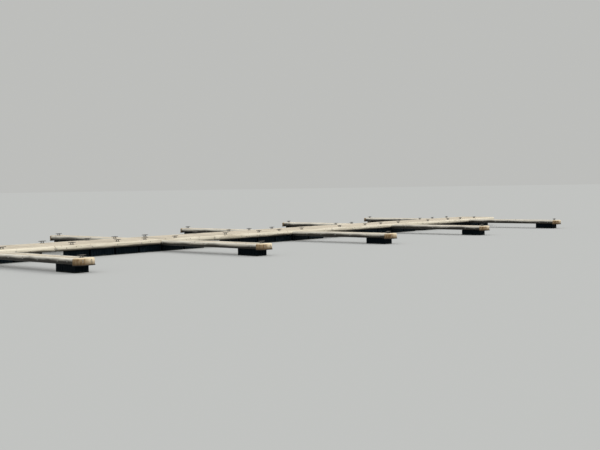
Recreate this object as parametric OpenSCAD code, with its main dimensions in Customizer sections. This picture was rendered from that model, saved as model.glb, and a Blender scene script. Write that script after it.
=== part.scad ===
// Floating timber jetty: a walkway of equal pontoon bays with a pair of
// mooring fingers on every bay. Millimetres, +Z up. The origin is on the
// water plane, in the middle of the walkway. X runs along the walkway.

/* [Layout] */
// Number of walkway bays, each with one finger on either side
bay_n = 5; // [1:1:6]
// Length of one bay, which is also the pitch of the fingers
bay_l = 7000; // [6000:100:9000]
// Gap left between the timbers of two neighbouring bays
bay_gap = 12; // [4:1:40]
// Width of the walkway over its edge logs
walk_w = 2160; // [1600:10:2600]
// Length of a finger from the walkway's edge to its tip
finger_l = 4900; // [3000:10:8000]
// Width of a finger over its logs
finger_w = 666; // [600:2:1000]
// Distance from the start of a bay to the near side of its finger
finger_at = 4370; // [1000:10:5000]
// Height of the walkway's surface above the water
deck_top = 444; // [380:2:600]
// How much lower a finger's surface lies than the walkway's
finger_drop = 36; // [0:2:60]

/* [Timber] */
// Diameter of the peeled round logs
log_d = 184; // [160:2:220]
// Depth sawn off a log's inner side, where it is bolted to the frame
log_flat = 10; // [4:1:20]
// Chamfer on the free ends of the logs
log_chamfer = 12; // [4:1:30]
// Thickness of the decking
deck_t = 28; // [20:1:40]
// Gap between the decking and the rounded flank of a log
deck_gap = 4; // [2:1:12]
// Width of the walkway's long frame timbers
beam_w = 70; // [45:5:100]
// Width of the cross timbers
bearer_w = 70; // [45:5:100]
// Width of the joists and cross timbers in a finger
joist_w = 45; // [35:5:60]
// Depth of the joists in a finger
joist_h = 100; // [70:5:140]
// Largest space between cross timbers in a finger
joist_pitch = 900; // [500:50:1200]
// Depth of the round-nosed end block, along the finger
end_t = 200; // [160:5:260]
// Radius of the end block's upright corners
end_r = 190; // [100:5:240]
// Radius on the end block's top edge
end_edge = 30; // [10:1:45]
// Thickness of the sole board under the end block
sole_t = 20; // [12:1:30]
// How far the sole board stands out past the end block
sole_out = 14; // [4:1:30]
// Clearance in the saddle that seats a finger's log on the walkway's log
cope_gap = 0.3; // [0.1:0.1:2]
// How far a finger's logs and joists start outside the walkway log's crest,
// where their saddle cut still leaves a blunt end
root_out = 63; // [50:1:75]

/* [Floats] */
// Height of the walkway's floats above the water
float_h = 240; // [180:5:260]
// Number of floats under one bay
float_n = 6; // [3:1:8]
// Open space from a bay's end to its first float
float_end = 425; // [100:5:600]
// Gap between two floats
float_gap = 72; // [20:2:200]
// Distance from the walkway's edge to the side of its floats
float_inset = 150; // [60:5:200]
// Length of a finger's float, along the finger
tip_float_l = 900; // [500:10:1200]
// Width of a finger's float
tip_float_w = 450; // [380:10:560]
// Distance from a finger's tip to its float
tip_float_in = 250; // [60:5:400]
// Radius of a float's upright corners
float_r = 55; // [20:1:90]
// Height of the flange round a float's top
flange_h = 28; // [15:1:40]
// Depth of the moulded flutes and of the step under the flange
flute_d = 9; // [4:1:16]
// Width of one moulded flute
flute_w = 60; // [30:2:90]
// Height of the plain band above and below the flutes
flute_band = 28; // [10:1:50]
// Distance between neighbouring flutes
flute_pitch = 120; // [80:5:200]

/* [Fittings] */
// Length of a cleat over its horns
cleat_l = 300; // [200:5:360]
// Height of a cleat
cleat_h = 82; // [60:1:110]
// Diameter of a cleat's horns at the middle
cleat_d = 28; // [20:1:36]
// Diameter of a cleat's horns at their ends
horn_d = 17; // [10:1:20]
// Chamfer on the ends of a cleat's horns
horn_chamfer = 3; // [1:0.5:5]
// Length of a cleat's foot
foot_l = 150; // [100:5:190]
// Distance between the legs of a cleat
leg_pitch = 80; // [60:5:95]
// Width of a cleat's foot
foot_w = 56; // [40:2:80]
// Thickness of a cleat's foot
foot_t = 8; // [4:1:14]
// Distance from a finger's tip to its cleat
cleat_in = 260; // [230:10:600]
// Places of a berth's cleats, from the near side of the finger before it
berth_cleats = [850, 3400, 5250, 6450]; // [500:50:6900]
// Space between a coupling angle and the floats beside it
coupling_gap = 35; // [10:5:100]
// Height of a coupling angle's upright leg
coupling_h = 150; // [100:5:200]
// How far the upright leg laps up over the frame timber
coupling_lap = 42; // [30:2:50]
// Thickness of a coupling angle
coupling_t = 10; // [6:1:14]

/* [Hidden] */
$fn = 48;
log_r = log_d / 2;
log_z = deck_top - log_r;
deck_z = deck_top - deck_t;
finger_top = deck_top - finger_drop;
finger_z = finger_top - log_r;
finger_deck_z = finger_top - deck_t;
total_l = bay_n * bay_l;

// A log's half width at the level of the decking's underside
crest = sqrt(pow(log_r, 2) - pow(log_r - deck_t, 2));
walk_log_y = walk_w / 2 - log_r;
walk_deck_w = 2 * (walk_log_y - crest - deck_gap);
beam_y = walk_log_y - log_r + log_flat - beam_w / 2;
finger_log_x = finger_w / 2 - log_r;
finger_deck_w = 2 * (finger_log_x - crest - deck_gap);
joist_x = finger_log_x - log_r + log_flat - joist_w / 2;
tip_y = walk_w / 2 + finger_l;

root_y = walk_log_y + root_out;
finger_deck_y = walk_w / 2 + deck_gap;

float_w = walk_w - 2 * float_inset;
float_l = (bay_l - 2 * float_end - (float_n - 1) * float_gap) / float_n;
tip_float_h = finger_z - log_r;
tip_float_y = tip_y - tip_float_in - tip_float_l / 2;
seat_y = tip_float_l / 4;
cleat_y = walk_deck_w / 2 - foot_w;
sides = [-1, 1];

PER_BAY = ["walkway_deck_", "walkway_frame_", "walkway_logs_", "walkway_floats_",
           "finger_logs_", "finger_frames_", "finger_decks_", "finger_floats_"];

function bay_x(k) = (k - 1) * bay_l - total_l / 2;
function finger_x(k) = bay_x(k) + finger_at + finger_w / 2;

// Turns a finger, drawn towards +Y from the walkway's middle line, to both sides
module both_sides(k) {
    translate([finger_x(k), 0, 0]) {
        children();
        mirror([0, 1, 0]) children();
    }
}

// A box between two corners
module block(low, high) {
    translate(low) cube(high - low);
}

// A peeled log along +X, flat where it meets the frame on its -Y side
module log_x(length, chamfer_start = log_chamfer, chamfer_end = log_chamfer) {
    difference() {
        rotate([90, 0, 90]) rotate_extrude() polygon([
            [0, 0],
            [log_r - chamfer_start, 0],
            [log_r, chamfer_start],
            [log_r, length - chamfer_end],
            [log_r - chamfer_end, length],
            [0, length]
        ]);
        translate([-1, -2 * log_r + log_flat - log_r, -log_r - 1])
            cube([length + 2, 2 * log_r, 2 * log_r + 2]);
    }
}

module walkway_deck(k) color("#d8cdb9")
    block([bay_x(k) + bay_gap / 2, -walk_deck_w / 2, deck_z],
          [bay_x(k + 1) - bay_gap / 2, walk_deck_w / 2, deck_top]);

// Three long timbers, tied by a cross timber at each end and over each gap
// between two floats
module walkway_frame(k) color("#6b5a46") {
    start = bay_x(k) + bay_gap / 2;
    length = bay_l - bay_gap;
    for (y = [-beam_y, 0, beam_y])
        translate([start, y - beam_w / 2, float_h])
            cube([length, beam_w, deck_z - float_h]);
    for (x = [start, start + length - bearer_w, for (i = [1:float_n - 1]) gap_x(k, i)])
        translate([x, -beam_y, float_h])
            cube([bearer_w, 2 * beam_y, deck_z - float_h]);
}

// Where the cross timber over the gap after float i begins
function gap_x(k, i) =
    bay_x(k) + float_end + i * (float_l + float_gap) - float_gap / 2 - bearer_w / 2;

module walkway_logs(k) color("#cbbfa9")
    for (s = sides)
        translate([bay_x(k) + bay_gap / 2, s * walk_log_y, log_z])
            mirror([0, s < 0 ? 1 : 0, 0]) log_x(bay_l - bay_gap);

// A moulded hollow float: flange, fluted flanks and a step under the flange
module float_box(length, width, height) {
    difference() {
        union() {
            linear_extrude(height - flange_h)
                rounded(length - 2 * flute_d, width - 2 * flute_d, float_r - flute_d);
            translate([0, 0, height - flange_h])
                linear_extrude(flange_h) rounded(length, width, float_r);
        }
        for (s = sides) {
            flutes(length, s * (width / 2 - flute_d), height, 0);
            flutes(width, s * (length / 2 - flute_d), height, 90);
        }
    }
}

// Upright half-round flutes along one flank of a float
module flutes(run, flank, height, turn) {
    count = floor((run - 2 * float_r - flute_w) / flute_pitch);
    radius = (pow(flute_w / 2, 2) + pow(flute_d, 2)) / (2 * flute_d);
    out = sign(flank) * (radius - flute_d);
    rotate([0, 0, -turn])
        for (i = [0:count])
            translate([(i - count / 2) * flute_pitch, flank + out, flute_band])
                cylinder(h = height - flange_h - 2 * flute_band, r = radius);
}

// A rectangle with round corners, drawn with true arcs
module rounded(length, width, radius) {
    square([length - 2 * radius, width], center = true);
    square([length, width - 2 * radius], center = true);
    for (sx = sides, sy = sides)
        translate([sx * (length / 2 - radius), sy * (width / 2 - radius)])
            circle(radius);
}

module walkway_floats(k) color("#1b1f25")
    for (i = [0:float_n - 1])
        translate([bay_x(k) + float_end + float_l / 2 + i * (float_l + float_gap), 0, 0])
            float_box(float_l, float_w, float_h);

// A pair of logs on each finger, saddle cut where they meet the walkway's log
module finger_logs(k) color("#cbbfa9")
    both_sides(k)
        difference() {
            for (s = sides)
                translate([s * finger_log_x, root_y, finger_z])
                    rotate([0, 0, 90]) mirror([0, s > 0 ? 1 : 0, 0])
                        log_x(tip_y - end_t - root_y, 0, 0);
            saddle();
        }

// The walkway's edge log with its clearance, for cutting the fingers' ends
module saddle() {
    translate([-finger_w, walk_log_y, log_z])
        rotate([0, 90, 0]) cylinder(h = 2 * finger_w, r = log_r + cope_gap);
}

// Two joists inside the logs, cross timbers, and the end block with its sole
module finger_frames(k) color("#b89a6d")
    both_sides(k) {
        difference() {
            finger_joists();
            saddle();
        }
        end_block();
        sole_board();
    }

module finger_joists() {
    low = finger_deck_z - joist_h;
    last = tip_y - end_t;
    for (s = sides)
        block([s * joist_x - joist_w / 2, root_y, low], [s * joist_x + joist_w / 2, last, finger_deck_z]);
    first = walk_w / 2 + joist_w;
    open_l = tip_y - tip_float_in - tip_float_l - first;
    count = ceil(open_l / joist_pitch);
    step = open_l / count;
    for (i = [0:count - 1])
        block([-joist_x, first + i * step, low],
              [joist_x, first + i * step + joist_w, finger_deck_z]);
    for (s = sides)
        translate([-joist_x - joist_w / 2, tip_float_y + s * seat_y, tip_float_h])
            cube([2 * joist_x + joist_w, joist_w, finger_deck_z - tip_float_h]);
}

// A round-nosed block across the tip: each upright corner is turned from the
// same profile as the straight nose between them, with a round top edge
module end_block() {
    corner_x = finger_w / 2 - end_r;
    intersection() {
        translate([0, tip_y - end_r, finger_z - log_r]) {
            for (s = sides)
                translate([s * corner_x, 0, 0]) rotate_extrude() end_profile(0);
            translate([-corner_x, 0, 0]) rotate([90, 0, 90])
                linear_extrude(2 * corner_x) end_profile(end_t - end_r);
        }
        block([-finger_w, tip_y - end_t, 0], [finger_w, tip_y, deck_top]);
    }
}

// The block's section, from behind the corners' axis out to the nose
module end_profile(behind) {
    depth = end_r + behind;
    translate([-behind, 0]) {
        square([depth, log_d - end_edge]);
        square([depth - end_edge, log_d]);
        translate([depth - end_edge, log_d - end_edge]) circle(end_edge);
    }
}

// A thin board under the end block, with the same outline but standing out
module sole_board() {
    radius = end_r + sole_out;
    corner_x = finger_w / 2 - end_r;
    translate([0, 0, finger_z - log_r - sole_t]) linear_extrude(sole_t)
        intersection() {
            union() {
                for (s = sides) translate([s * corner_x, tip_y - end_r]) circle(radius);
                translate([-corner_x, tip_y - end_t]) square([2 * corner_x, end_t + sole_out]);
            }
            translate([-finger_w, tip_y - end_t]) square([2 * finger_w, end_t + sole_out]);
        }
}

module finger_decks(k) color("#d8cdb9")
    both_sides(k)
        block([-finger_deck_w / 2, finger_deck_y, finger_deck_z],
              [finger_deck_w / 2, tip_y - end_t, finger_top]);

module finger_floats(k) color("#1b1f25")
    both_sides(k)
        translate([0, tip_float_y, 0])
            float_box(tip_float_w, tip_float_l, tip_float_h);

// Steel angles under the outer frame timbers, across each joint of two bays:
// the upright leg laps up over the timber's outer side
module couplings() color("#8d9499") {
    length = 2 * (float_end - coupling_gap);
    outer = beam_y + beam_w / 2;
    for (k = [2:1:bay_n], s = sides)
        translate([bay_x(k) - length / 2, 0, float_h]) mirror([0, s < 0 ? 1 : 0, 0]) {
            translate([0, outer, coupling_lap - coupling_h])
                cube([length, coupling_t, coupling_h]);
            translate([0, outer - beam_w, -coupling_t])
                cube([length, beam_w + coupling_t, coupling_t]);
        }
}

// A mooring cleat: a foot, two stout legs and a bar that tapers to both horns
module cleat() {
    horn_z = cleat_h - cleat_d / 2;
    translate([0, 0, foot_t / 2]) cube([foot_l, foot_w, foot_t], center = true);
    for (s = sides)
        translate([s * leg_pitch / 2, 0, foot_t]) cylinder(h = horn_z - foot_t, d = cleat_d);
    translate([0, 0, horn_z]) rotate([0, 90, 0])
        rotate_extrude() polygon([
            [0, -cleat_l / 2],
            [horn_d / 2 - horn_chamfer, -cleat_l / 2],
            [horn_d / 2, -cleat_l / 2 + horn_chamfer],
            [cleat_d / 2, -leg_pitch / 2],
            [cleat_d / 2, leg_pitch / 2],
            [horn_d / 2, cleat_l / 2 - horn_chamfer],
            [horn_d / 2 - horn_chamfer, cleat_l / 2],
            [0, cleat_l / 2]
        ]);
}

// One cleat at each finger's tip, and a row of them along both edges of every
// berth, as far as the walkway reaches
module cleats() color("#8d9499") {
    for (k = [1:bay_n])
        both_sides(k) translate([0, tip_y - cleat_in, finger_top]) cleat();
    for (k = [0:bay_n], at = berth_cleats, s = sides) {
        x = finger_x(k) - finger_w / 2 + at;
        if (abs(x) < (total_l - cleat_l) / 2)
            translate([x, s * cleat_y, deck_top]) cleat();
    }
}

for (k = [1:bay_n]) {
    walkway_deck(k);
    walkway_frame(k);
    walkway_logs(k);
    walkway_floats(k);
    finger_logs(k);
    finger_frames(k);
    finger_decks(k);
    finger_floats(k);
}
couplings();
cleats();
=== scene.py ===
import math
import random

import bmesh
import bpy
from mathutils import Matrix, Vector, noise


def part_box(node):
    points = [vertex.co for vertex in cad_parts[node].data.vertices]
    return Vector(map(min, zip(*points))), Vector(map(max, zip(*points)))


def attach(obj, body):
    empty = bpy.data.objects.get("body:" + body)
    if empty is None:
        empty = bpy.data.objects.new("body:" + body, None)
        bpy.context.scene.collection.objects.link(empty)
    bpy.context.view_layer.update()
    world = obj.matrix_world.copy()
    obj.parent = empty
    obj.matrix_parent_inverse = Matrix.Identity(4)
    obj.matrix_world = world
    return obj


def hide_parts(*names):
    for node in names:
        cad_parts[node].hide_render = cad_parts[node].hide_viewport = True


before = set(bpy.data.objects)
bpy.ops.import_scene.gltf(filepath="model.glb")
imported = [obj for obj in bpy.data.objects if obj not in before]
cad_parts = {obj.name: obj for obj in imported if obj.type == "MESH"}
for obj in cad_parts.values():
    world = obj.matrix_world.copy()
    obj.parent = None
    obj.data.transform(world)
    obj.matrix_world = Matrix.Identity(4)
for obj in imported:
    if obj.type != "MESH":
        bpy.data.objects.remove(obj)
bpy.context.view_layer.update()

# The camera looks along and across the near fingers from about two metres
# above the floats' feet, with the small tilt that the picture was taken with.
yaw, pitch, roll = math.radians(41.385), math.radians(2.296), math.radians(-0.865)
camera_at = (-27.463, -26.487, 2.188)
ahead = Vector((math.cos(yaw) * math.cos(pitch), math.sin(yaw) * math.cos(pitch), -math.sin(pitch)))
right = Vector((math.sin(yaw), -math.cos(yaw), 0))
level = Matrix((right, right.cross(ahead), -ahead)).transposed().to_4x4()
camera = bpy.data.objects.new("camera", bpy.data.cameras.new("camera"))
camera.data.sensor_fit = "HORIZONTAL"
camera.data.sensor_width = 36
camera.data.lens = 55.32
camera.data.clip_start, camera.data.clip_end = 0.5, 9000
camera.matrix_world = Matrix.Translation(camera_at) @ level @ Matrix.Rotation(roll, 4, "Z")
bpy.context.scene.collection.objects.link(camera)
bpy.context.scene.camera = camera
bpy.context.scene.view_settings.view_transform = "Standard"

# The floor is a wide plain sheet at the level the floats ride at. It looks
# pale, but throws little light up under the jetty, so that side stays dark.
def new_finish(name, roughness=0.8, metallic=0.0, specular=0.5):
    """A new material, with its tree of nodes and its shader."""
    finish = bpy.data.materials.new(name)
    finish.use_nodes = True
    shader = finish.node_tree.nodes["Principled BSDF"]
    shader.inputs["Roughness"].default_value = roughness
    shader.inputs["Metallic"].default_value = metallic
    shader.inputs["Specular IOR Level"].default_value = specular
    return finish, finish.node_tree, shader


def feed(tree, node, sockets):
    """Sets each socket of a node to a value, or links it to another socket."""
    for socket, value in sockets.items():
        if isinstance(value, bpy.types.NodeSocket):
            tree.links.new(value, node.inputs[socket])
        else:
            node.inputs[socket].default_value = value


def put(tree, kind, sockets, **settings):
    """Adds a shader node of a kind, with its sockets fed and its settings made."""
    node = tree.nodes.new("ShaderNode" + kind)
    for setting, value in settings.items():
        setattr(node, setting, value)
    feed(tree, node, sockets)
    return node


def calc(tree, operation, first, second):
    return put(tree, "Math", {0: first, 1: second}, operation=operation).outputs[0]


def blend(tree, share, first, second):
    """Blends two colours, which go to inputs 6 and 7 of a Mix node."""
    return put(tree, "Mix", {0: share, 6: first, 7: second}, data_type="RGBA").outputs[2]


def seen_directly(tree):
    """Is 1 for what the camera sees, also in a mirror or through glass, and 0 for lighting."""
    path = put(tree, "LightPath", {})
    seen = calc(tree, "MAXIMUM", path.outputs["Is Camera Ray"], path.outputs["Is Glossy Ray"])
    return calc(tree, "MAXIMUM", seen, path.outputs["Is Transmission Ray"])


floor_reach = 3000
own_glow = 0.25
backdrop = (0.51, 0.515, 0.50, 1)
floor_grey = (0.30, 0.31, 0.30, 1)
floor_finish, tree, shader = new_finish("floor", roughness=0.95, specular=0.0)
seen = seen_directly(tree)
seen_floor = [(1 - own_glow) * part for part in backdrop[:3]] + [1]
feed(tree, shader, {"Base Color": blend(tree, seen, floor_grey, seen_floor), "Emission Color": backdrop,
                    "Emission Strength": calc(tree, "MULTIPLY", seen, own_glow)})
sheet = bmesh.new()
bmesh.ops.create_grid(sheet, x_segments=1, y_segments=1, size=floor_reach)
floor_mesh = bpy.data.meshes.new("floor")
sheet.to_mesh(floor_mesh)
sheet.free()
floor_mesh.materials.append(floor_finish)
floor = bpy.data.objects.new("floor", floor_mesh)
bpy.context.scene.collection.objects.link(floor)

# The light is a wide soft sun from the near right and a pale even dome,
# which together light a level surface at a plain strength of about one.
sun_from = Vector((0.80, -0.60, 0.70))
dome_light = (0.85, 0.865, 0.875, 1)
sun = bpy.data.objects.new("sun", bpy.data.lights.new("sun", "SUN"))
sun.data.energy = 1.2
sun.data.angle = math.radians(30)
sun.data.color = (1.0, 0.98, 0.95)
sun.matrix_world = sun_from.to_track_quat("Z", "Y").to_matrix().to_4x4()
bpy.context.scene.collection.objects.link(sun)
world = bpy.data.worlds.new("world")
bpy.context.scene.world = world
world.use_nodes = True
tree = world.node_tree
dome = blend(tree, seen_directly(tree), dome_light, backdrop)
feed(tree, tree.nodes["Background"], {"Color": dome})

# The floats are hollow boxes of black polyethylene, moulded in one piece with
# tight corners and grooved flanks, six in a row under each bay of the walkway,
# scuffed, and stained along their feet.
def object_place(tree):
    return put(tree, "TexCoord", {}).outputs["Object"]


def mark(tree, name, output="Fac"):
    """Reads what a mesh's vertices were marked with."""
    return put(tree, "Attribute", {}, attribute_name=name).outputs[output]


def stretched(tree, place, scale):
    return put(tree, "Mapping", {"Vector": place, "Scale": scale}).outputs[0]


def cloud(tree, place, scale=1.0, detail=3.0, roughness=0.55):
    sockets = {"Vector": place, "Scale": scale, "Detail": detail, "Roughness": roughness}
    return put(tree, "TexNoise", sockets).outputs["Fac"]


def spread(tree, value, low, high, to_low=0.0, to_high=1.0, how="LINEAR"):
    """Maps a value between low and high to a new range, and holds it at that range's ends."""
    sockets = {0: value, 1: low, 2: high, 3: to_low, 4: to_high}
    return put(tree, "MapRange", sockets, interpolation_type=how).outputs[0]


def by_tone(tree, colour, darkest, palest):
    """Shades a colour by the tone that each part of a piece was given."""
    share = spread(tree, mark(tree, "tone"), 0.0, 1.0, darkest, palest)
    return put(tree, "VectorMath", {0: colour, "Scale": share}, operation="SCALE").outputs[0]


def relief(tree, shader, height, depth, strength):
    bump = put(tree, "Bump", {"Height": height, "Distance": depth, "Strength": strength})
    feed(tree, shader, {"Normal": bump.outputs[0]})


def new_mesh():
    """An empty mesh whose vertices carry their place in the grain, and the marks: their part's own tone,
    which on the far noses is a painted shade, their height, 1 in a crack, the radius in a log and the
    place across a finger."""
    made = bmesh.new()
    made.verts.layers.float_vector.new("grain")
    for name in marks:
        made.verts.layers.float.new(name)
    return made


def fit(piece, part, place, tone=None):
    """Adds a part, made with its grain along X, at its place in the piece."""
    grain = part.verts.layers.float_vector["grain"]
    own, rise = part.verts.layers.float["tone"], part.verts.layers.float["rise"]
    start = Vector([chance.uniform(0, 60) for _ in range(3)])
    part_tone = chance.random() if tone is None else tone
    for vert in part.verts:
        vert[grain] = start + vert.co
        vert[own] = part_tone
    bmesh.ops.transform(part, matrix=place, verts=part.verts)
    for vert in part.verts:
        vert[rise] = vert.co.z
    scratch = bpy.data.meshes.new("scratch")
    part.to_mesh(scratch)
    part.free()
    piece.from_mesh(scratch)
    bpy.data.meshes.remove(scratch)


def quarter_turns(count, axis="Z"):
    return Matrix.Rotation(count * math.pi / 2, 4, axis)


def squared(size):
    """A square-edged block about the origin."""
    part = new_mesh()
    bmesh.ops.create_cube(part, size=1)
    bmesh.ops.scale(part, vec=size, verts=part.verts)
    return part


def bevel(part, edges, width, segments):
    """Cuts edges back to a flat, or to a curve where there are more segments."""
    return bmesh.ops.bevel(part, geom=edges, offset=width, offset_type="OFFSET", segments=segments,
                           profile=0.5, affect="EDGES", material=-1)


def drop(edge):
    """How far apart in height the two ends of an edge are."""
    return abs(edge.verts[0].co.z - edge.verts[1].co.z)


def flank_of(part, out):
    """The faces that look straight out to one side."""
    part.normal_update()
    return [face for face in part.faces if face.normal.dot(out) > 0.999]


def moulded_float(length, width, height):
    """A float about the origin, its grooves stopping short of its lip and its foot."""
    part = squared((length, width, height))
    for upright, radius, segments in ((True, corner_r, 3), (False, rim_r, 2)):
        picked = [edge for edge in part.edges if (drop(edge) > height / 2) == upright]
        bevel(part, picked, radius, segments)
    up = Vector((0, 0, 1))
    groove_top = height / 2 - lip_h
    for turn in range(4):
        out = quarter_turns(turn) @ Vector((1, 0, 0))
        along, run = up.cross(out), width if turn % 2 == 0 else length
        count = int((run - groove_pitch / 2) / groove_pitch)
        middles = [(i - (count - 1) / 2) * groove_pitch for i in range(count)]
        cuts = [(up, side * groove_top) for side in (-1, 1)]
        cuts += [(along, middle + side * groove_w / 2) for middle in middles for side in (-1, 1)]
        for across, spot in cuts:
            flank = flank_of(part, out)
            rims = {edge for face in flank for edge in face.edges}
            corners = {vert for face in flank for vert in face.verts}
            bmesh.ops.bisect_plane(part, geom=[*corners, *rims, *flank], dist=0.00001,
                                   plane_co=across * spot, plane_no=across)
        grooves = []
        for face in flank_of(part, out):
            centre = face.calc_center_median()
            if abs(centre.z) < groove_top and any(abs(centre.dot(along) - at) < 0.001 for at in middles):
                grooves.append(face)
        bmesh.ops.inset_individual(part, faces=grooves, thickness=groove_slope, depth=-groove_d)
    return part


def hand_over(piece, name, finishes, replaced=None, smooth=False):
    """Makes a finished piece of the scene, which may stand for a node of the CAD."""
    for face in piece.faces:
        face.smooth = smooth
    mesh = bpy.data.meshes.new(name)
    piece.to_mesh(mesh)
    piece.free()
    if smooth:
        mesh.set_sharp_from_angle(angle=math.radians(38))
    for finish in finishes:
        mesh.materials.append(finish)
    made = bpy.data.objects.new(name, mesh)
    bpy.context.scene.collection.objects.link(made)
    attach(made, "root")
    if replaced:
        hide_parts(replaced)


chance = random.Random(11)
marks = ("tone", "rise", "crack", "ring", "side")
corner_r, rim_r, lip_h = 0.016, 0.005, 0.030
groove_w, groove_d, groove_slope, groove_pitch = 0.048, 0.008, 0.006, 0.110
plastic_black = (0.0006, 0.0019, 0.0032, 1)
plastic_grey = (0.0034, 0.0058, 0.0082, 1)
scuffed_grey = (0.020, 0.023, 0.026, 1)
foot_stain = (0.040, 0.042, 0.032, 1)
float_plastic, tree, shader = new_finish("float_plastic", specular=0.06)
shader.inputs["Specular Tint"].default_value = (0.55, 0.85, 1.0, 1)
place = object_place(tree)
height = put(tree, "SeparateXYZ", {0: place}).outputs["Z"]
mottle = cloud(tree, place, 5.0, 5.0)
tone = blend(tree, spread(tree, mottle, 0.35, 0.7), plastic_black, plastic_grey)
scuff = cloud(tree, stretched(tree, place, (30, 30, 4)), 1.0, 4.0)
tone = blend(tree, spread(tree, scuff, 0.60, 0.76, 0.0, 0.5), tone, scuffed_grey)
ragged = calc(tree, "ADD", height, spread(tree, cloud(tree, place, 9.0, 4.0), 0.3, 0.7, -0.018, 0.018))
tone = blend(tree, spread(tree, ragged, 0.006, 0.036, 0.6, 0.0), tone, foot_stain)
feed(tree, shader, {"Base Color": by_tone(tree, tone, 1.0, 2.8),
                    "Roughness": spread(tree, mottle, 0.3, 0.7, 0.45, 0.7)})
relief(tree, shader, cloud(tree, place, 320.0, 2.0), 0.0006, 0.6)

bays = sorted(int(name.rsplit("_", 1)[1]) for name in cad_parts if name.startswith("walkway_floats_"))
floats_in_bay, float_gap = 6, 0.072
floats_low, floats_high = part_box("walkway_floats_1")
float_pitch = (floats_high.x - floats_low.x + float_gap) / floats_in_bay
float_size = Vector((float_pitch - float_gap, floats_high.y - floats_low.y, floats_high.z))
one_float = moulded_float(*float_size)
for k in bays:
    low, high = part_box(f"walkway_floats_{k}")
    pontoons = new_mesh()
    for i in range(floats_in_bay):
        middle = Vector((low.x + i * float_pitch, -float_size.y / 2, 0)) + float_size / 2
        fit(pontoons, one_float.copy(), Matrix.Translation(middle))
    hand_over(pontoons, f"walkway_pontoons_{k}", [float_plastic], f"walkway_floats_{k}")
one_float.free()

# The walkway's frame is three long softwood timbers set on edge and short
# cross timbers between them, sawn square, dark with damp, on the floats.
def timber_finish(name, pale, mid, deep, damp_and_shade, damp_and_shade_low, damp_and_shade_high, roughness=0.8, play=0.2):
    """Wood with the grain of each part, dried above one height and darker below another: damp, and on the
    logs also painted shade.
    """
    finish, tree, shader = new_finish(name, specular=0.3)
    grain, rise = mark(tree, "grain", "Vector"), mark(tree, "rise")
    streaks = cloud(tree, stretched(tree, grain, (0.8, 14, 14)), 1.0, 4.0)
    fibre = cloud(tree, stretched(tree, grain, (6, 210, 210)), 1.0, 3.0, 0.6)
    patches = cloud(tree, stretched(tree, grain, (0.9, 3.0, 3.0)), 1.0, 3.0)
    knots = put(tree, "TexVoronoi", {"Vector": stretched(tree, grain, (1.6, 5.5, 5.5)), "Scale": 1.0})
    colour = blend(tree, spread(tree, streaks, 0.38, 0.62), pale, mid)
    colour = blend(tree, spread(tree, patches, 0.50, 0.78, 0.0, 0.55), colour, deep)
    colour = blend(tree, spread(tree, fibre, 0.54, 0.76, 0.0, 0.6), colour, deep)
    colour = blend(tree, spread(tree, knots.outputs["Distance"], 0.05, 0.13, 0.8, 0.0), colour, deep)
    colour = by_tone(tree, colour, 1.0 - play, 1.0 + play * 0.4)
    uneven = calc(tree, "ADD", rise, spread(tree, patches, 0.3, 0.7, -0.03, 0.03))
    uneven = calc(tree, "ADD", uneven, spread(tree, streaks, 0.3, 0.7, -0.012, 0.012))
    damp_and_shade_mask = spread(tree, uneven, damp_and_shade_low, damp_and_shade_high, 1.0, 0.0, "SMOOTHSTEP")
    # In a crack the colour turns to a painted shade.
    colour = blend(tree, mark(tree, "crack"), blend(tree, damp_and_shade_mask, colour, damp_and_shade), crack_painted_shade)
    wet_roughness = spread(tree, damp_and_shade_mask, 0.0, 1.0, roughness, roughness - 0.28)
    feed(tree, shader, {"Base Color": colour, "Roughness": wet_roughness})
    relief(tree, shader, calc(tree, "ADD", fibre, calc(tree, "MULTIPLY", streaks, 1.5)), 0.0015, 0.7)
    return finish


def sawn(size, arris=0.004):
    """A part about the origin with its sharp edges taken off."""
    part = squared(size)
    bevel(part, part.edges[:], arris, 1)
    return part


def timber(piece, low, high, along="X", turn=Matrix()):
    """Adds a sawn timber between two corners, with its grain along the axis named."""
    low, high = Vector(low), Vector(high)
    size, place = high - low, turn @ Matrix.Translation((low + high) / 2)
    if along == "Y":
        size, place = Vector((size.y, size.x, size.z)), place @ quarter_turns(1, "Z")
    if along == "Z":
        size, place = Vector((size.z, size.y, size.x)), place @ quarter_turns(1, "Y")
    fit(piece, sawn(size), place)


# The dark colour inside the cracks is a painted shade.
crack_painted_shade = (0.018, 0.014, 0.010, 1)
damp_timber = timber_finish("damp_timber", pale=(0.17, 0.135, 0.095, 1), mid=(0.11, 0.088, 0.062, 1),
                            deep=(0.055, 0.045, 0.033, 1), damp_and_shade=(0.028, 0.025, 0.020, 1),
                            damp_and_shade_low=0.24, damp_and_shade_high=0.40)
beam_w, bearer_w = 0.070, 0.070
beam_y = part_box("walkway_frame_1")[1].y - beam_w / 2


def bearers_of(k):
    """Where the cross timbers of a bay begin: at both ends and over each gap between floats."""
    low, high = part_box(f"walkway_frame_{k}")
    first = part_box(f"walkway_floats_{k}")[0].x - (float_gap + bearer_w) / 2
    return [low.x, *[first + i * float_pitch for i in range(1, floats_in_bay)], high.x - bearer_w]


for k in bays:
    low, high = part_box(f"walkway_frame_{k}")
    framing = new_mesh()
    for y in (-beam_y, 0, beam_y):
        timber(framing, (low.x, y - beam_w / 2, low.z), (high.x, y + beam_w / 2, high.z))
    for x in bearers_of(k):
        for side in (-1, 1):
            near, far = sorted((side * beam_w / 2, side * (beam_y - beam_w / 2)))
            timber(framing, (x, near, low.z), (x + bearer_w, far, high.z), "Y")
    hand_over(framing, f"walkway_timbers_{k}", [damp_timber], f"walkway_frame_{k}")

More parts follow.
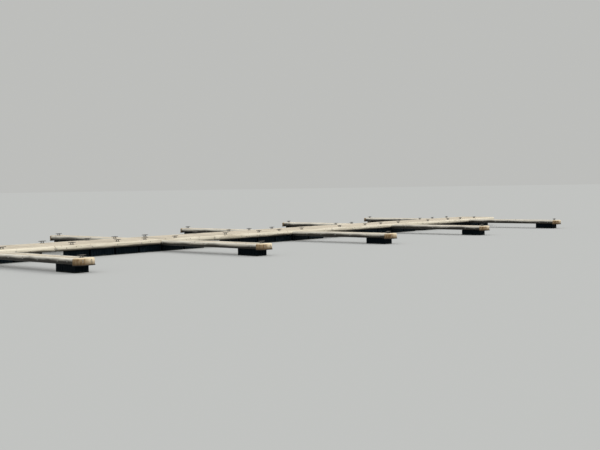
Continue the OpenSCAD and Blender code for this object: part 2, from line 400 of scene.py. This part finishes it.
# The walkway's edge logs are machine-peeled pine poles, sawn flat inside and
# bolted through to the frame. They have dried with long cracks and show knots.
log_sides, ring_pitch, log_wear = 28, 0.130, 0.0035
log_flat, chamfer = 0.010, 0.012
cracks_per_m, crack_w, crack_depth = 1.6, 0.0026, 0.012
crack_lengths, sound_end, last_start = (0.3, 1.9), 0.15, 0.5
knots_per_m, knot_depth, knot_stands = 2.2, 0.010, 0.0005
knot_sizes, knot_taper, knot_oval = (0.009, 0.022), 0.75, 1.5
knot_turns, clear_end = (-0.6, 2.4), 0.2
knot_slot, end_slot = 1, 2


def row_of(vert):
    """Which of the rows along a log a vertex is in, counted round from the outermost."""
    return round(math.atan2(vert.co.z, vert.co.y) / math.tau * log_sides) % log_sides


def open_cracks(log, length, radius):
    """Opens drying cracks along a log, on all but its inner side and its underside."""
    crack = log.verts.layers.float["crack"]
    open_rows = [i for i in range(log_sides) if math.cos(i / log_sides * math.tau) > -0.5
                 and math.sin(i / log_sides * math.tau) > -0.75]
    cracks = []
    for _ in range(int(length * cracks_per_m)):
        row = chance.choice(open_rows)
        start = chance.uniform(sound_end, length - last_start)
        end = min(length - sound_end, start + chance.uniform(*crack_lengths))
        cracks.append((row, start, end))
    split = []
    for edge in log.edges:
        one, other = edge.verts
        rows, middle = {row_of(one), row_of(other)}, (one.co.x + other.co.x) / 2
        if abs(one.co.x - other.co.x) > ring_pitch / 2 and len(rows) == 1:
            if any(row in rows and start < middle < end for row, start, end in cracks):
                split.append(edge)
    opened = bevel(log, split, crack_w, 2)
    lips = set(opened["faces"])
    for vert in opened["verts"]:
        # The deepest line of each crack is marked, to take a painted shade.
        if all(face in lips for face in vert.link_faces):
            vert[crack] = 1.0
            vert.co.yz = vert.co.yz * (1 - crack_depth / radius)


def set_knots(log, length, radius):
    """Sets low oval knots into a log's upper and outer sides, draped over its curve."""
    for _ in range(int(length * knots_per_m)):
        turn = chance.uniform(*knot_turns)
        x = chance.uniform(clear_end, length - clear_end)
        size = chance.uniform(*knot_sizes)
        knot = bmesh.ops.create_cone(log, cap_ends=True, segments=12, radius1=size,
                                     radius2=size * knot_taper, depth=knot_depth)["verts"]
        for vert in knot:
            vert.co.x *= knot_oval
            vert.co.z -= vert.co.y ** 2 / (2 * radius)
        seat = Matrix.Translation((x, radius - knot_depth / 2 + knot_stands, 0))
        place = Matrix.Rotation(turn, 4, "X") @ seat @ quarter_turns(-1, "X")
        bmesh.ops.transform(log, matrix=place, verts=knot)
        for face in {face for vert in knot for face in vert.link_faces}:
            face.material_index = knot_slot


def peeled_log(length, radius, seat=None):
    """A log along +X, flat on its -Y side. A seat moves its first ring on to what it meets."""
    log = new_mesh()
    bmesh.ops.create_cone(log, cap_ends=True, segments=log_sides, radius1=radius, radius2=radius,
                          depth=length)
    bmesh.ops.rotate(log, verts=log.verts, cent=(0, 0, 0), matrix=quarter_turns(1, "Y"))
    bmesh.ops.translate(log, verts=log.verts, vec=(length / 2, 0, 0))
    if seat is None:
        rims = [edge for edge in log.edges if any(len(face.verts) > 4 for face in edge.link_faces)]
        bevel(log, rims, chamfer, 2)
    runs = [edge for edge in log.edges if abs(edge.verts[0].co.x - edge.verts[1].co.x) > length / 2]
    bmesh.ops.subdivide_edges(log, edges=runs, cuts=int(length / ring_pitch), use_grid_fill=True)
    drift = Vector([chance.uniform(0, 40) for _ in range(3)])
    for vert in log.verts:
        wear = 0.5 + 0.5 * noise.noise(drift + Vector((vert.co.x * 1.1, vert.co.y * 5, vert.co.z * 5)))
        vert.co.yz = vert.co.yz * (1 - log_wear * wear / radius)
    if seat is not None:
        for vert in log.verts:
            if vert.co.x < 0.0001:
                vert.co.x = seat(vert.co.z)
    for face in bmesh.ops.poke(log, faces=[face for face in log.faces if len(face.verts) > 4])["faces"]:
        face.material_index = end_slot
    open_cracks(log, length, radius)
    ring = log.verts.layers.float["ring"]
    for vert in log.verts:
        vert[ring] = vert.co.yz.length
        vert.co.y = max(vert.co.y, log_flat - radius)
    set_knots(log, length, radius)
    return log


# The logs and their knots darken below a height, partly as damp and partly as painted shade on their lower
# side.
peeled_pine = timber_finish("peeled_pine", pale=(0.93, 0.85, 0.68, 1), mid=(0.76, 0.68, 0.525, 1),
                            deep=(0.38, 0.31, 0.21, 1), damp_and_shade=(0.125, 0.105, 0.078, 1),
                            damp_and_shade_low=0.276, damp_and_shade_high=0.340, roughness=0.72, play=0.12)
knot_wood = timber_finish("knot_wood", pale=(0.31, 0.22, 0.14, 1), mid=(0.21, 0.14, 0.09, 1),
                          deep=(0.10, 0.07, 0.045, 1), damp_and_shade=(0.035, 0.028, 0.021, 1),
                          damp_and_shade_low=0.272, damp_and_shade_high=0.338, roughness=0.6, play=0.3)
spring_wood = (0.33, 0.27, 0.195, 1)
summer_wood = (0.20, 0.155, 0.105, 1)
grimy_wood = (0.11, 0.095, 0.075, 1)
end_grain, tree, shader = new_finish("end_grain", roughness=0.85, specular=0.2)
grain = mark(tree, "grain", "Vector")
wander = calc(tree, "MULTIPLY", cloud(tree, grain, 9.0), 0.02)
years = calc(tree, "MULTIPLY", calc(tree, "ADD", mark(tree, "ring"), wander), 900.0)
years = calc(tree, "SINE", years, 0.0)
tone = blend(tree, spread(tree, years, -0.6, 0.9), spring_wood, summer_wood)
grime = spread(tree, cloud(tree, grain, 24.0, 5.0), 0.45, 0.75, 0.0, 0.7)
feed(tree, shader, {"Base Color": blend(tree, grime, tone, grimy_wood)})
relief(tree, shader, years, 0.0008, 0.5)

logs_low, logs_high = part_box("walkway_logs_1")
log_r = (logs_high.z - logs_low.z) / 2
log_z = logs_low.z + log_r
walk_log_y = logs_high.y - log_r
for k in bays:
    low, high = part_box(f"walkway_logs_{k}")
    logs = new_mesh()
    for side, start in ((-1, high.x), (1, low.x)):
        place = Matrix.Translation((start, side * walk_log_y, log_z)) @ quarter_turns(1 - side)
        fit(logs, peeled_log(high.x - low.x, log_r), place)
    hand_over(logs, f"walkway_edge_logs_{k}", [peeled_pine, knot_wood, end_grain],
              f"walkway_logs_{k}", smooth=True)

# The decking is planed softwood boards, laid across the walkway with a slim
# gap to drain, screwed down to the three long timbers under them.
weathered_deck = timber_finish("weathered_deck", pale=(0.79, 0.70, 0.55, 1), mid=(0.63, 0.54, 0.41, 1),
                               deep=(0.36, 0.295, 0.205, 1), damp_and_shade=(0.20, 0.16, 0.11, 1),
                               damp_and_shade_low=0.33, damp_and_shade_high=0.37, roughness=0.75, play=0.22)
screw_grey = (0.30, 0.30, 0.29, 1)
screw_rust = (0.16, 0.11, 0.075, 1)
screw_steel, tree, shader = new_finish("screw_steel", roughness=0.5, metallic=0.8)
worn = spread(tree, cloud(tree, object_place(tree), 60.0), 0.4, 0.65)
feed(tree, shader, {"Base Color": blend(tree, worn, screw_grey, screw_rust)})
board_w, board_gap, board_arris = 0.145, 0.008, 0.003
most_sunk, most_short, most_narrow = 0.002, 0.004, 0.002
screw_spread, screw_stray, screw_slot = 0.3, 0.006, 1


def screw_head(foot_r, top_r, depth, slot=0):
    """A low hexagonal head about the origin."""
    head = new_mesh()
    bmesh.ops.create_cone(head, cap_ends=True, segments=6, radius1=foot_r, radius2=top_r, depth=depth)
    for face in head.faces:
        face.material_index = slot
    return head


def lay_boards(piece, low, high, across, supports):
    """Boards laid side by side along one axis, each reaching across the other over its supports."""
    crosswise = across == "Y"
    start, end = (low.x, high.x) if crosswise else (low.y, high.y)
    near, far = (low.y, high.y) if crosswise else (low.x, high.x)
    count = round((end - start + board_gap) / (board_w + board_gap))
    pitch = (end - start + board_gap) / count
    width, thick = pitch - board_gap, high.z - low.z
    turn = quarter_turns(1 if crosswise else 0)

    def spot(along, over, z):
        return Matrix.Translation((along, over, z) if crosswise else (over, along, z))

    for i in range(count):
        middle = start + i * pitch + width / 2
        sunk = chance.uniform(0, most_sunk)
        board_l = far - near - chance.uniform(0, most_short)
        size = Vector((board_l, width - chance.uniform(0, most_narrow), thick - sunk))
        fit(piece, sawn(size, board_arris), spot(middle, (near + far) / 2, low.z + size.z / 2) @ turn)
        for over in supports:
            for edge in (-1, 1):
                beside = over + chance.uniform(-screw_stray, screw_stray)
                head = screw_head(foot_r=0.006, top_r=0.0045, depth=0.0012, slot=screw_slot)
                fit(piece, head, spot(middle + edge * screw_spread * width, beside, high.z - sunk), tone=0.5)


for k in bays:
    boards = new_mesh()
    lay_boards(boards, *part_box(f"walkway_deck_{k}"), "Y", (-beam_y, 0, beam_y))
    hand_over(boards, f"walkway_boards_{k}", [weathered_deck, screw_steel],
              f"walkway_deck_{k}")

# Each finger's frame is two sawn larch joists with cross timbers between them,
# and two deeper cross timbers that stand on the float near the tip.
sawn_larch = timber_finish("sawn_larch", pale=(0.42, 0.33, 0.22, 1), mid=(0.30, 0.23, 0.15, 1),
                           deep=(0.16, 0.115, 0.07, 1), damp_and_shade=(0.05, 0.040, 0.029, 1),
                           damp_and_shade_low=0.24, damp_and_shade_high=0.38)
joist_w, joist_h, joist_pitch = 0.045, 0.100, 0.900
end_t, sole_out = 0.200, 0.014
root_out = 0.063
tip_float_l, tip_float_in = 0.900, 0.250
tip_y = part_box("finger_frames_1")[1].y - sole_out
tip_float_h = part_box("finger_floats_1")[1].z
joist_top, finger_top = (corner.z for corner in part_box("finger_decks_1"))
finger_z = finger_top - log_r
finger_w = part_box("finger_logs_1")[1].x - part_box("finger_logs_1")[0].x
finger_log_x = finger_w / 2 - log_r
joist_x = finger_log_x - log_r + log_flat - joist_w / 2
root_y = walk_log_y + root_out
first_tie = walk_log_y + log_r + joist_w
open_l = tip_y - tip_float_in - tip_float_l - first_tie
ties = math.ceil(open_l / joist_pitch)
tie_places = [first_tie + i * open_l / ties for i in range(ties)]
seat_places = [tip_y - tip_float_in - tip_float_l * share for share in (0.75, 0.25)]


def fingers_of(k):
    """The places of a bay's two fingers, each drawn towards +Y from the walkway's middle line."""
    low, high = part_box(f"finger_logs_{k}")
    middle = Matrix.Translation(((low.x + high.x) / 2, 0, 0))
    return middle, middle @ quarter_turns(2)


for k in bays:
    framing = new_mesh()
    for turn in fingers_of(k):
        for s in (-1, 1):
            timber(framing, (s * joist_x - joist_w / 2, root_y, joist_top - joist_h),
                   (s * joist_x + joist_w / 2, tip_y - end_t, joist_top), "Y", turn)
        reach = joist_x - joist_w / 2
        for y in tie_places:
            timber(framing, (-reach, y, joist_top - joist_h), (reach, y + joist_w, joist_top), "X", turn)
        for y in seat_places:
            timber(framing, (-reach, y, tip_float_h), (reach, y + joist_w, joist_top), "X", turn)
            for s in (-1, 1):
                timber(framing, (s * joist_x - joist_w / 2, y, tip_float_h),
                       (s * joist_x + joist_w / 2, y + joist_w, joist_top - joist_h), "Z", turn)
    hand_over(framing, f"finger_timbers_{k}", [sawn_larch], f"finger_frames_{k}")

# Each finger ends in a thick round-nosed block of fresher tan timber, with brown stain and painted
# shade on its side away from the light, damp at its foot, over a thin sole board painted near black as
# shade.
end_r, end_edge = 0.190, 0.042
sole_t, sole_slot = 0.020, 1
# The noses of the far fingers take low tones, which paint shade on them.
near_tones, far_shaded_tones = (0.75, 1.0), (0.0, 0.3)
larch_pale = (0.96, 0.83, 0.60, 1)
larch_mid = (0.88, 0.70, 0.46, 1)
larch_grain = (0.42, 0.30, 0.18, 1)
stain_and_shade_brown = (0.240, 0.138, 0.053, 1)
soaked_brown = (0.112, 0.070, 0.033, 1)
nose_larch, tree, shader = new_finish("nose_larch", roughness=0.78, specular=0.25)
grain, rise = mark(tree, "grain", "Vector"), mark(tree, "rise")
fibre = cloud(tree, stretched(tree, grain, (5, 120, 120)), 1.0, 3.0, 0.6)
bands = cloud(tree, stretched(tree, grain, (1.5, 12, 12)))
runs = cloud(tree, stretched(tree, object_place(tree), (20, 20, 5)), 1.0, 3.0, 0.6)
tone = blend(tree, spread(tree, bands, 0.35, 0.65), larch_pale, larch_mid)
tone = blend(tree, spread(tree, fibre, 0.52, 0.80, 0.0, 0.5), tone, larch_grain)
# Brown below the top on the side away from the light is stain and painted shade together.
stain_and_shade_side = calc(tree, "MULTIPLY", spread(tree, mark(tree, "side"), -0.10, 0.08, 1.0, 0.0),
                 spread(tree, rise, 0.382, 0.400, 1.0, 0.0))
stain_and_shade = calc(tree, "MULTIPLY", stain_and_shade_side, spread(tree, runs, 0.36, 0.62, 0.68, 1.0))
tone = blend(tree, stain_and_shade, tone, stain_and_shade_brown)
uneven = calc(tree, "ADD", rise, spread(tree, runs, 0.3, 0.7, 0.02, -0.02))
tone = blend(tree, spread(tree, uneven, 0.205, 0.385, 1.0, 0.0, "SMOOTHSTEP"), tone, soaked_brown)
# Low tones darken the far noses as a painted shade.
feed(tree, shader, {"Base Color": by_tone(tree, tone, 0.66, 1.02)})
relief(tree, shader, calc(tree, "ADD", fibre, runs), 0.002, 0.6)
# The sole board's near black colour is a painted shade under the end block.
sole_painted_shade = timber_finish("sole_painted_shade", pale=(0.045, 0.035, 0.026, 1), mid=(0.030, 0.024, 0.018, 1),
                          deep=(0.018, 0.014, 0.011, 1), damp_and_shade=(0.014, 0.012, 0.010, 1),
                          damp_and_shade_low=0.19, damp_and_shade_high=0.24, roughness=0.7)


def nose(width, depth, height, radius, edge=0.0, slot=0):
    """A board or block across the tip, with round corners and, where asked, a round top edge."""
    part = squared((width, depth, height))
    corners = [side for side in part.edges if all(vert.co.y > 0 for vert in side.verts)
               and drop(side) > height / 2]
    bevel(part, corners, radius, 14)
    if edge:
        rim = [side for side in part.edges if all(vert.co.z > 0 for vert in side.verts)
               and any(vert.co.y > 0.001 - depth / 2 for vert in side.verts)]
        bevel(part, rim, edge, 5)
    for face in part.faces:
        face.material_index = slot
    return part


for k in bays:
    tips = new_mesh()
    for turn, facing in zip(fingers_of(k), (1, -1)):
        block = nose(finger_w, end_t, 2 * log_r, end_r, end_edge)
        side = block.verts.layers.float["side"]
        for vert in block.verts:
            vert[side] = vert.co.x * facing
        place = turn @ Matrix.Translation((0, tip_y - end_t / 2, finger_z))
        fit(tips, block, place, tone=chance.uniform(*(near_tones if facing < 0 else far_shaded_tones)))
        sole = nose(finger_w + 2 * sole_out, end_t + sole_out, sole_t, end_r + sole_out, slot=sole_slot)
        under = Matrix.Translation((0, tip_y - (end_t - sole_out) / 2, finger_z - log_r - sole_t / 2))
        fit(tips, sole, turn @ under)
    hand_over(tips, f"finger_noses_{k}", [nose_larch, sole_painted_shade], smooth=True)

# Under each tip rides a smaller float of the same make, fixed up to the two
# deep cross timbers of the finger's frame.
tip_float_w = 0.450
for k in bays:
    pontoons = new_mesh()
    for turn in fingers_of(k):
        middle = Matrix.Translation((0, tip_y - tip_float_in - tip_float_l / 2, tip_float_h / 2))
        fit(pontoons, moulded_float(tip_float_w, tip_float_l, tip_float_h), turn @ middle, tone=0.0)
    hand_over(pontoons, f"finger_pontoons_{k}", [float_plastic], f"finger_floats_{k}")

# The fingers' logs are the same peeled poles, saddle cut at the root to sit
# against the walkway's log, and bolted through to the joists.
cope_gap = 0.0003


def saddle(z):
    """How far a log's end starts from its root, at a height over the log's own axis."""
    off = z + finger_z - log_z
    return max(0.0, math.sqrt(max(0.0, (log_r + cope_gap) ** 2 - off ** 2)) - root_out)


# The finger logs darken below a height, partly as damp and partly as painted shade on their lower side.
splashed_shaded_pine = timber_finish("splashed_shaded_pine", pale=(0.97, 0.915, 0.79, 1), mid=(0.86, 0.805, 0.68, 1),
                              deep=(0.42, 0.36, 0.27, 1), damp_and_shade=(0.034, 0.029, 0.021, 1),
                              damp_and_shade_low=0.294, damp_and_shade_high=0.406, roughness=0.72, play=0.12)
for k in bays:
    logs = new_mesh()
    for turn in fingers_of(k):
        for s in (-1, 1):
            log = peeled_log(tip_y - end_t - root_y, log_r, saddle)
            if s > 0:
                bmesh.ops.scale(log, vec=(1, -1, 1), verts=log.verts)
                bmesh.ops.reverse_faces(log, faces=log.faces)
            place = Matrix.Translation((s * finger_log_x, root_y, finger_z))
            fit(logs, log, turn @ place @ quarter_turns(1))
    hand_over(logs, f"finger_poles_{k}", [splashed_shaded_pine, knot_wood, end_grain],
              f"finger_logs_{k}", smooth=True)

# The fingers are decked with the same boards, cut short and laid across
# between the two logs, with two screws into each joist.
root_gap = 0.004
for k in bays:
    low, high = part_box(f"finger_decks_{k}")
    middle, root = (low.x + high.x) / 2, walk_log_y + log_r + root_gap
    boards = new_mesh()
    for near, far in ((low.y, -root), (root, high.y)):
        lay_boards(boards, Vector((low.x, near, low.z)), Vector((high.x, far, high.z)), "X",
                   (middle - joist_x, middle + joist_x))
    hand_over(boards, f"finger_boards_{k}", [weathered_deck, screw_steel],
              f"finger_decks_{k}")

# The coupling angles across each joint are hot-dip galvanised steel plate,
# still pale, with the spangle of the zinc and dull runs.
def zinc(name, dark, pale, bloom, stain, metallic):
    """Zinc in spangles between dark and pale, with bloom and then stain over it."""
    finish, tree, shader = new_finish(name, metallic=metallic)
    place = object_place(tree)
    spangle = put(tree, "TexVoronoi", {"Vector": place, "Scale": 90.0}).outputs["Color"]
    tone = blend(tree, put(tree, "SeparateColor", {0: spangle}).outputs[0], dark, pale)
    tone = blend(tree, spread(tree, cloud(tree, place, 14.0, 4.0), 0.5, 0.68, 0.0, 0.6), tone, bloom)
    tone = blend(tree, spread(tree, cloud(tree, place, 22.0, 5.0, 0.65), 0.58, 0.70, 0.0, 0.75), tone, stain)
    sheen = spread(tree, cloud(tree, place, 30.0), 0.3, 0.7, 0.42, 0.65)
    feed(tree, shader, {"Base Color": tone, "Roughness": sheen})
    relief(tree, shader, cloud(tree, place, 160.0, 3.0), 0.0006, 0.5)
    return finish


def recoat(name, finish):
    """Gives a node of the CAD a new finish."""
    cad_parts[name].data.materials.clear()
    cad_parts[name].data.materials.append(finish)


pale_zinc = zinc("pale_zinc", dark=(0.66, 0.66, 0.64, 1), pale=(0.80, 0.80, 0.78, 1),
                 bloom=(0.86, 0.86, 0.84, 1), stain=(0.50, 0.47, 0.43, 1), metallic=0.2)
recoat("couplings", pale_zinc)

# The mooring cleats are cast and galvanised steel, worn dull and darker by
# use, with a little brown where the zinc is gone.
worn_zinc = zinc("worn_zinc", dark=(0.058, 0.056, 0.051, 1), pale=(0.104, 0.100, 0.092, 1),
                 bloom=(0.19, 0.185, 0.175, 1), stain=(0.11, 0.070, 0.042, 1), metallic=0.5)
recoat("cleats", worn_zinc)

# Galvanised hexagon bolts, each on a round washer let into the wood, hold the
# logs to the cross timbers behind them and the end blocks to the joists.
dull_zinc = zinc("dull_zinc", dark=(0.28, 0.275, 0.26, 1), pale=(0.42, 0.415, 0.40, 1),
                 bloom=(0.50, 0.49, 0.47, 1), stain=(0.20, 0.13, 0.08, 1), metallic=0.4)
washer_t, head_t, let_in = 0.006, 0.008, 0.003
end_bolts_down = (0.30, 0.75)


def bolt(piece, place, washer_r=0.020, head_r=0.010):
    """A hexagon head on a washer, standing along the place's +X."""
    half_t = washer_t / 2
    for radius, sides, foot, top in ((washer_r, 12, -half_t, half_t), (head_r, 6, half_t, half_t + head_t)):
        part = new_mesh()
        bmesh.ops.create_cone(part, cap_ends=True, segments=sides, radius1=radius, radius2=radius,
                              depth=top - foot)
        bmesh.ops.translate(part, verts=part.verts, vec=(0, 0, (foot + top) / 2))
        fit(piece, part, place @ quarter_turns(1, "Y"))


for k in bays:
    bolts = new_mesh()
    for x in bearers_of(k):
        for side in (-1, 1):
            place = Matrix.Translation((x + bearer_w / 2, side * (walk_log_y + log_r - let_in), log_z))
            bolt(bolts, place @ quarter_turns(side))
    for turn in fingers_of(k):
        for y in (*tie_places, *seat_places):
            for s in (-1, 1):
                place = turn @ Matrix.Translation((s * (finger_w / 2 - let_in), y + joist_w / 2, finger_z))
                bolt(bolts, place @ quarter_turns(1 - s))
        for share_down in end_bolts_down:
            for s in (-1, 1):
                place = Matrix.Translation((s * joist_x, tip_y - let_in, joist_top - joist_h * share_down))
                bolt(bolts, turn @ place @ quarter_turns(1))
    hand_over(bolts, f"log_bolts_{k}", [dull_zinc])

# The cleats are screwed down at the four corners of their feet, and each
# coupling angle is bolted through the frame timbers on both sides of a joint.
bay_l, bay_gap = 7.000, 0.012
berth_cleats = (0.850, 3.400, 5.250, 6.450)
cleat_l, foot_w, foot_t, cleat_in = 0.300, 0.056, 0.008, 0.260
foot_screws = ((-0.064, -0.017), (0.064, -0.017), (-0.064, 0.017), (0.064, 0.017))
foot_screw_t, foot_screw_sunk = 0.005, 0.001
angle_bolts, angle_bolt_z = (-0.30, -0.12, 0.12, 0.30), 0.262
walk_end, deck_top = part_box(f"walkway_logs_{bays[-1]}")[1].x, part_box("walkway_deck_1")[1].z
cleat_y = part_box("walkway_deck_1")[1].y - foot_w
finger_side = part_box("finger_logs_1")[0].x
tips_at = [turn @ Vector((0, tip_y - cleat_in, finger_top)) for k in bays for turn in fingers_of(k)]
berths_at = [(finger_side + bay_l * k + at, side * cleat_y, deck_top)
             for k in range(-1, len(bays)) for at in berth_cleats for side in (-1, 1)]
fixings = new_mesh()
for x, y, z in tips_at + [spot for spot in berths_at if abs(spot[0]) < walk_end - cleat_l / 2]:
    for over, out in foot_screws:
        place = Matrix.Translation((x + over, y + out, z + foot_t + foot_screw_t / 2 - foot_screw_sunk))
        fit(fixings, screw_head(foot_r=0.0065, top_r=0.005, depth=foot_screw_t), place)
angle_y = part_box("couplings")[1].y
for k in bays[1:]:
    joint_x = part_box(f"walkway_frame_{k}")[0].x - bay_gap / 2
    for out in angle_bolts:
        for side in (-1, 1):
            place = Matrix.Translation((joint_x + out, side * angle_y, angle_bolt_z))
            bolt(fixings, place @ quarter_turns(side), washer_r=0.015, head_r=0.009)
hand_over(fixings, "fixings", [dull_zinc])
